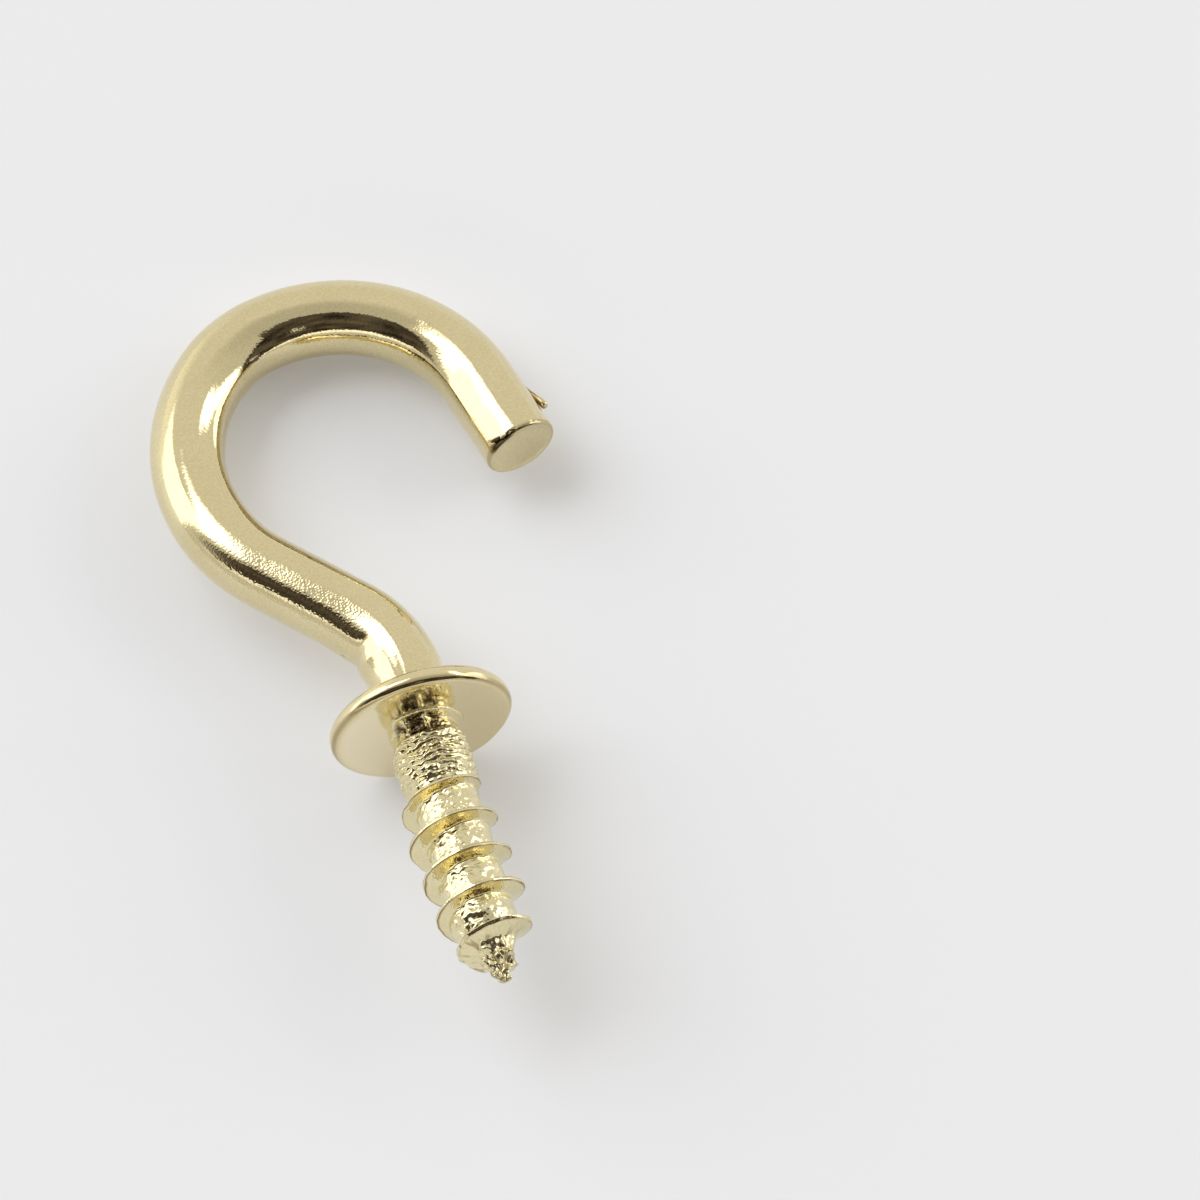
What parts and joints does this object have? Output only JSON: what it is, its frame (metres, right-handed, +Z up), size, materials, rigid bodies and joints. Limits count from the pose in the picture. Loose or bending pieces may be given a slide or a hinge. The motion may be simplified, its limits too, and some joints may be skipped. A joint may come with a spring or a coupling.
{
  "type": "cup hook",
  "caption": "Screw-in cup hook of round wire with an open loop, a flat collar and a coarse wood screw with a gimlet point.",
  "frame": {"origin": "middle of the footprint on the table that the hook lies on", "axes": "+Y runs from the screw to the crown of the loop, +X to the side of the cut end, +Z up from the table"},
  "size_m": [0.0126, 0.0258, 0.0058],
  "materials": {
    "plated_wire": "polished"
  },
  "bodies": {
    "root": {"cup_hook": "plated_wire"}
  },
  "joints": []
}
